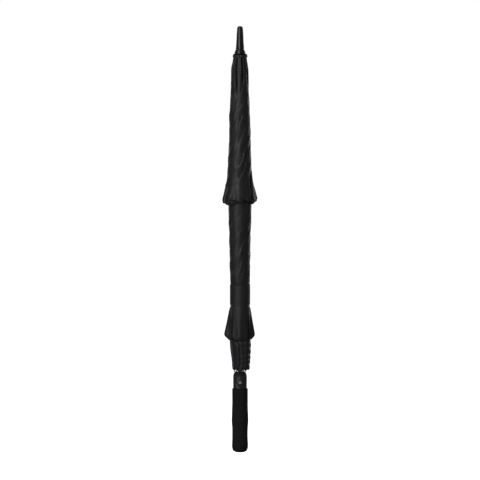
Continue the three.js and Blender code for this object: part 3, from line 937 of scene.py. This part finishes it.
def handle_collar():
    """The moulded collar with a dished oval seat and a window for the button."""
    outer = [(15.2, 151.4), (15.85, 152.2), (16.0, 155), (16.1, 165), (16.15, 176), (16.0, 180.5),
             (15.3, 184.0), (14.2, 186.8), (12.6, 189.0), (10.9, 190.5)]
    inner = [(10.2, 191), (9.65, 190.6), (9.6, 183), (13.6, 183), (13.6, 154), (SHAFT_BORE, 154),
             (SHAFT_BORE, 151.4)]

    def seat(ang, z):
        x = 16 * np.cos(ang)
        up = z - BUTTON_Z
        d = np.sqrt((x / (BUTTON_WIDE + 2.6)) ** 2 + (up / (BUTTON_TALL + 2.4)) ** 2)
        front = (np.sin(ang) < 0) & (z > 151.8) & (z < 186)
        return np.where(front, -0.6 * smooth(1.0, 0.78, d), 0)

    ob = lathe("collar_shell", spline(outer, 0.8) + inner, 160, seat)
    cutter = lathe("collar_cutter", [(0, 9), (1, 9), (1, 18.5), (0, 18.5)], 48)
    cutter.data.transform(Matrix.Diagonal((BUTTON_WIDE + WINDOW_GAP, BUTTON_TALL + WINDOW_GAP, 1, 1)))
    cutter.data.transform(Matrix.Rotation(math.pi / 2, 4, "X"))
    cutter.data.transform(Matrix.Translation((0, 0, BUTTON_Z * MM)))
    mod = ob.modifiers.new("window", "BOOLEAN")
    mod.object = cutter
    mod.solver = "EXACT"
    dg = bpy.context.evaluated_depsgraph_get()
    me = bpy.data.meshes.new_from_object(ob.evaluated_get(dg))
    me.set_sharp_from_angle(angle=math.radians(32))
    ob.modifiers.clear()
    ob.data = me
    bpy.data.objects.remove(cutter)
    return ob


collar = handle_collar()
paint(collar, DOME)
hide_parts("handle_collar")
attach(collar, "handle_and_shaft")


def push_button():
    """An oval key, domed, with a raised generic triangle."""
    rings, seg = 56, 96
    ang = np.arange(seg) * 2 * math.pi / seg
    t = np.concatenate([np.linspace(0.01, 0.9, rings - 6), [0.95, 0.985, 1.0, 1.0, 0.985, 0.6]])
    back = np.concatenate([np.zeros(rings - 3), [1.2, 3.3, 3.3]])
    x = t[:, None] * BUTTON_WIDE * np.cos(ang)
    zz = t[:, None] * BUTTON_TALL * np.sin(ang)
    crown = 0.9 * (1 - t[:, None] ** 2) - 0.5 * smooth(0.9, 1.0, t)[:, None]
    inside = np.minimum(zz + 3.0, 4.2 - zz - np.abs(x) * 1.55)
    mark = 0.35 * smooth(-0.35, 0.35, inside) * (back[:, None] == 0)
    y = -(16.2 + crown + mark) + back[:, None]
    grid = np.stack([x, np.clip(y, -17.0, -13.5) + 0 * x, zz + BUTTON_Z], -1) * MM
    ob = grid_object("button_key", grid, wrap=True)
    faces_out(ob, [range(seg), range((rings - 1) * seg, rings * seg)])
    ob.data.polygons.foreach_set("use_smooth", [True] * len(ob.data.polygons))
    attribute(ob, "mark", np.broadcast_to(smooth(-0.1, 0.25, inside) * (back[:, None] == 0), x.shape))
    return ob


button = push_button()
paint(button, marked("button_satin", 0.02, 0.36, 1.25))
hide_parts("push_button")
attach(button, "push_button")


# ---------------------------------------------------------------- springs
def coil_points(r, low, high, turns, per_turn):
    t = np.linspace(0, 1, int(turns * per_turn) + 1)
    a = t * turns * 2 * math.pi
    return np.stack([r * np.cos(a), r * np.sin(a), low + (high - low) * t], -1) * MM


spring = tube("opening_coil", coil_points(8.5, 277.4, 916.4, 64, 14), 0.45 * MM, 6)
paint(spring, WIRE)
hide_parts("opening_spring")
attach(spring, "handle_and_shaft")
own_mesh(spring)

small = tube("button_coil", coil_points(2.4, 0, 5.3, 5, 18), 0.3 * MM, 6)
small.data.transform(Matrix.Translation((0, -13.0 * MM, 160 * MM)) @ Matrix.Rotation(-math.pi / 2, 4, "X"))
paint(small, WIRE)
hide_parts("button_spring")
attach(small, "handle_and_shaft")
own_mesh(small)


# ---------------------------------------------------------------- closure strap
def band_surface(name, az0, az1, z0, z1, radius, thick, cols, rows=14):
    """A doubled band of cloth bent round the axis.

    Its outer face, rolled edges and inner face are one closed skin.
    """
    u = np.linspace(0, 1, cols)
    v = np.linspace(0, 1, rows)
    az = az0 + (az1 - az0) * u
    loop = []
    for sgn, vv in [(1, v), (-1, v[::-1])]:
        for t in vv:
            edge = 1 - abs(2 * t - 1)
            bulge = thick / 2 * min(1.0, math.sqrt(edge * 14)) if edge < 1 / 14 else thick / 2
            hemline = -0.14 * math.exp(-((min(t, 1 - t) - 0.07) / 0.018) ** 2)
            loop.append((t, sgn * (bulge + hemline)))

    def point(a, t, o):
        r = radius + o + 0.12 * np.sin(5 * a + 3 * t)
        return r * np.cos(a), r * np.sin(a), z0 + (z1 - z0) * t + 0.5 * np.sin(2 * a + 1)

    pts = np.array([[point(a, t, o) for t, o in loop] for a in az]) * MM
    ob = grid_object(name, pts, wrap=True)
    m = len(loop)
    faces_out(ob, [range(m), range((cols - 1) * m, cols * m)])
    ob.data.polygons.foreach_set("use_smooth", [True] * len(ob.data.polygons))
    uvs = np.array([[(radius * a * MM, (z0 + (z1 - z0) * t) * MM) for t, o in loop] for a in az])
    set_uv(ob, uvs)
    from_hem = [min(t, 1 - t) * (z1 - z0) * MM + 0.0035 for t, o in loop]
    from_end = [min(i, cols - 1 - i) / (cols - 1) * (az1 - az0) * radius * MM for i in range(cols)]
    attribute(ob, "hem", np.array([from_hem] * cols))
    attribute(ob, "seam", np.array([[d] * m for d in from_end]))
    return ob


sewn = FIRST + STRAP_RIB * STEP
STRAP_THICK = 0.8
strap = band_surface("strap", sewn + math.radians(1.5), sewn + math.radians(358.5), 347.4, 396.6, 23.55,
                     STRAP_THICK, 140)
paint(strap, STRAP_CLOTH)
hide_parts("strap_band")
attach(strap, f"ribtip_{STRAP_RIB}")
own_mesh(strap)

tab = band_surface("strap_end", sewn - math.radians(25), sewn + math.radians(50), 352, 392, 24.78,
                   STRAP_THICK, 40)
paint(tab, STRAP_CLOTH)
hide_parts("strap_tab")
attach(tab, "strap_tab")
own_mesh(tab)

# ---------------------------------------------------------------- CAD pieces that stay
LOOK = {
    "shaft": SHAFT_BLACK, "stop_pin": BRIGHT, "top_notch": MOULDING, "notch_wire": WIRE,
    "runner": MOULDING, "runner_wire": WIRE, "latch": WIRE, "handle_core": MOULDING,
}
LOOK.update({f"stretcher_{j}": BLACK_RIB for j in range(RIBS)})
for name, look in LOOK.items():
    node = frame["nodes"][name]
    paint(node, look)
    soften = node.modifiers.new("edges", "BEVEL")
    soften.width = 0.25 * MM
    soften.segments = 2
    soften.limit_method = "ANGLE"
    soften.angle_limit = math.radians(50)

# ---------------------------------------------------------------- stage, light, camera
FLOOR_HALF, FLOOR_Z = 40, -0.35
corners = [(x * FLOOR_HALF, y * FLOOR_HALF, FLOOR_Z) for x, y in ((-1, -1), (1, -1), (1, 1), (-1, 1))]
floor = mesh_object("floor", corners, [(0, 1, 2, 3)])
n = Nodes("floor_white")
n.link(n.ramp(n.noise(0.4), [(0.3, grey(0.9)), (0.7, grey(0.93))]), n.bsdf.inputs["Base Color"])
n.shader(Roughness=0.9, Emission_Strength=1.0)
n.bsdf.inputs["Emission Color"].default_value = (1, 1, 1, 1)
paint(floor, n.mat)
floor.visible_diffuse = False
floor.visible_glossy = False

world = bpy.data.worlds.new("white")
bpy.context.scene.world = world
world.use_nodes = True
wt = world.node_tree
wt.nodes.clear()
out_node = wt.nodes.new("ShaderNodeOutputWorld")
seen_bg = wt.nodes.new("ShaderNodeBackground")
seen_bg.inputs["Strength"].default_value = 1.0
seen_bg.inputs["Color"].default_value = (1, 1, 1, 1)
lit_bg = wt.nodes.new("ShaderNodeBackground")
lit_bg.inputs["Color"].default_value = (0.95, 0.97, 1, 1)
lit_bg.inputs["Strength"].default_value = 0.1
path = wt.nodes.new("ShaderNodeLightPath")
mixer = wt.nodes.new("ShaderNodeMixShader")
wt.links.new(path.outputs["Is Camera Ray"], mixer.inputs[0])
wt.links.new(lit_bg.outputs[0], mixer.inputs[1])
wt.links.new(seen_bg.outputs[0], mixer.inputs[2])
wt.links.new(mixer.outputs[0], out_node.inputs[0])


def area_light(name, at, aim, size, power):
    data = bpy.data.lights.new(name, "AREA")
    data.shape = "RECTANGLE"
    data.size, data.size_y = size
    data.energy = power
    ob = bpy.data.objects.new(name, data)
    bpy.context.scene.collection.objects.link(ob)
    ob.location = at
    ob.rotation_euler = (Vector(aim) - Vector(at)).to_track_quat("-Z", "Y").to_euler()


area_light("key", (-1.05, -2.3, 1.08), (0, 0, 0.58), (0.8, 2.0), 31)
area_light("overhead", (-0.85, -1.5, 2.45), (0, 0, 0.9), (0.8, 0.8), 7)
area_light("fill", (2.4, -1.6, 0.5), (0, 0, 0.4), (1.2, 1.2), 1.0)
area_light("back", (0, 2.8, 1.3), (0, 0, 0.5), (1.4, 2.0), 10)
area_light("back_right", (1.75, 2.2, 0.9), (0, 0, 0.5), (0.7, 1.8), 15)
area_light("back_left", (-1.4, 2.45, 0.9), (0, 0, 0.5), (0.7, 1.8), 10)

DISTANCE, ELEVATION = 6.0, math.radians(5)
WIDTH_SEEN = 1.1234  # metres across the picture at the object
AIM_Z = 0.5009
SENSOR = 36
camera_data = bpy.data.cameras.new("camera")
camera = bpy.data.objects.new("camera", camera_data)
bpy.context.scene.collection.objects.link(camera)
aim = Vector((0, 0, AIM_Z))
camera.location = aim + Vector((0, -math.cos(ELEVATION), math.sin(ELEVATION))) * DISTANCE
camera.rotation_euler = (aim - camera.location).to_track_quat("-Z", "Y").to_euler()
camera_data.sensor_width = SENSOR
camera_data.lens = SENSOR * DISTANCE / WIDTH_SEEN
camera_data.clip_end = 200
bpy.context.scene.camera = camera

view = bpy.context.scene.view_settings
view.view_transform = "Standard"
view.look = "None"
